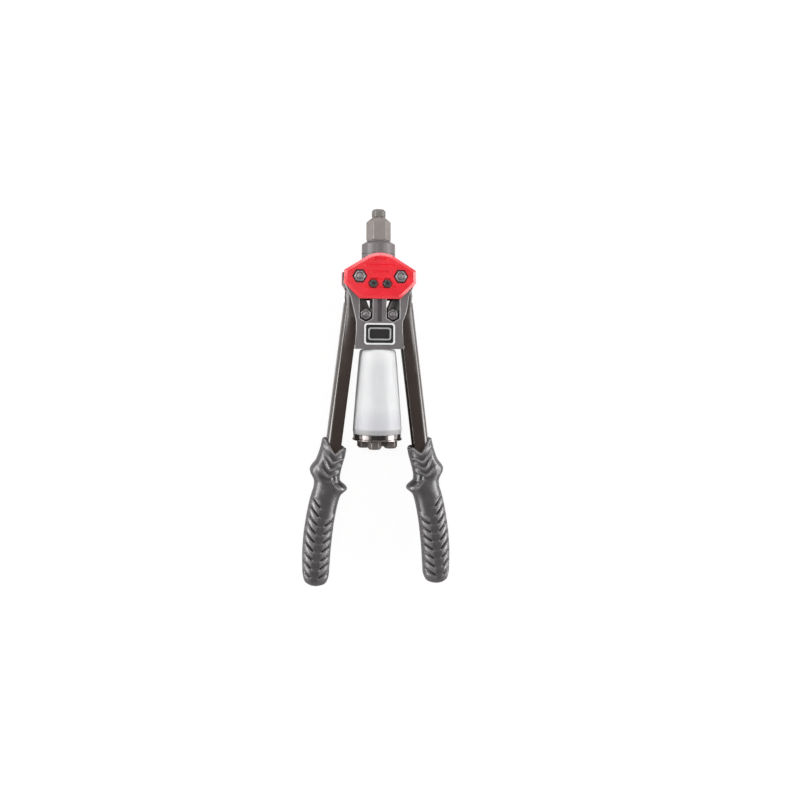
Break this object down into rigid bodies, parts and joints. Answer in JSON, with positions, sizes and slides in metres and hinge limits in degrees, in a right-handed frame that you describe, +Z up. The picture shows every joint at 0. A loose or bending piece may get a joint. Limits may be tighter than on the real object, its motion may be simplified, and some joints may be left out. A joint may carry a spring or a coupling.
{
  "type": "two-hand lever riveter",
  "caption": "Long-arm hand riveter: two gripped arms swing on a cast head and draw a jaw case back through links, with a bottle for spent stems and spare nosepieces.",
  "frame": {"origin": "centre of the nosepiece mouth, on the bore axis", "axes": "+Y out of the nose along the mandrel bore, +X to the right seen from the front cover, +Z up out of the front cover with the tool on its back"},
  "size_m": [0.131, 0.3296, 0.0438],
  "materials": {
    "dark_steel": "dark phosphated steel",
    "grey_steel": "grey phosphated steel, fine turned",
    "casting_paint": "satin dark grey enamel on a die casting",
    "red_paint": "satin red enamel",
    "badge_metal": "printed aluminium, bare of any mark",
    "milky_plastic": "milky translucent polyethylene",
    "bright_steel": "polished plated steel",
    "fastener_steel": "blackened zinc",
    "black_gloss_paint": "gloss black enamel on folded sheet",
    "grip_rubber": "moulded black rubber",
    "hard_steel": "hardened steel",
    "link_steel": "oiled steel"
  },
  "bodies": {
    "frame": {"nosepiece": "dark_steel", "nose_sleeve": "grey_steel", "frame": "casting_paint", "front_cover": "red_paint", "rear_cover": "red_paint", "left_pivot_bolt": "fastener_steel", "right_pivot_bolt": "fastener_steel", "left_pivot_nut": "fastener_steel", "right_pivot_nut": "fastener_steel", "left_front_screw": "fastener_steel", "right_front_screw": "fastener_steel", "left_rear_screw": "fastener_steel", "right_rear_screw": "fastener_steel", "badge": "badge_metal"},
    "right_arm": {"right_arm": "black_gloss_paint", "right_crank_pin": "link_steel", "right_grip": "grip_rubber"},
    "left_arm": {"left_arm": "black_gloss_paint", "left_crank_pin": "link_steel", "left_grip": "grip_rubber"},
    "crosshead": {"crosshead": "link_steel", "pull_rod": "link_steel", "lock_nut": "fastener_steel", "jaw_case": "hard_steel", "jaw_spring": "hard_steel", "left_link_bolt": "fastener_steel", "right_link_bolt": "fastener_steel", "left_link_nut": "fastener_steel", "right_link_nut": "fastener_steel"},
    "right_links": {"right_front_link": "link_steel", "right_rear_link": "link_steel"},
    "left_links": {"left_front_link": "link_steel", "left_rear_link": "link_steel"},
    "jaws": {"jaw_1": "hard_steel", "jaw_2": "hard_steel", "jaw_3": "hard_steel", "jaw_pusher": "hard_steel"},
    "bottle": {"bottle": "milky_plastic", "bottle_base": "bright_steel", "spare_nosepiece_1": "dark_steel", "spare_nosepiece_2": "dark_steel", "spare_nosepiece_3": "dark_steel", "spare_nosepiece_4": "dark_steel"}
  },
  "joints": [
    {"name": "right_arm_swing", "type": "hinge", "parent": "frame", "child": "right_arm", "pos_m": [0.01785, -0.0601, 0], "axis": [0, 0, 1], "range_deg": [0, 50]},
    {"name": "left_arm_swing", "type": "hinge", "parent": "frame", "child": "left_arm", "pos_m": [-0.01785, -0.0601, 0], "axis": [0, 0, -1], "range_deg": [0, 50]},
    {"name": "crosshead_slide", "type": "slide", "parent": "frame", "child": "crosshead", "axis": [0, 1, 0], "range_m": [0, 0.0081]},
    {"name": "right_link_swing", "type": "hinge", "parent": "crosshead", "child": "right_links", "pos_m": [0.0118, -0.09285, 0], "axis": [0, 0, -1], "range_deg": [0, 14]},
    {"name": "left_link_swing", "type": "hinge", "parent": "crosshead", "child": "left_links", "pos_m": [-0.0118, -0.09285, 0], "axis": [0, 0, 1], "range_deg": [0, 14]},
    {"name": "jaw_release", "type": "slide", "parent": "crosshead", "child": "jaws", "axis": [0, -1, 0], "range_m": [0, 0.0025], "stiffness_N_per_m": 400, "springref_m": -0.01, "deforming": ["jaw_spring"]},
    {"name": "bottle_release", "type": "slide", "parent": "frame", "child": "bottle", "axis": [0, -1, 0], "range_m": [0, 0.016]}
  ],
  "couplings": [
    {"joint": "left_arm_swing", "follows": "right_arm_swing", "ratio": 1},
    {"joint": "crosshead_slide", "follows": "right_arm_swing", "m_per_rad": 0.00917},
    {"joint": "right_link_swing", "follows": "right_arm_swing", "ratio": 0.276},
    {"joint": "left_link_swing", "follows": "right_arm_swing", "ratio": 0.276}
  ]
}
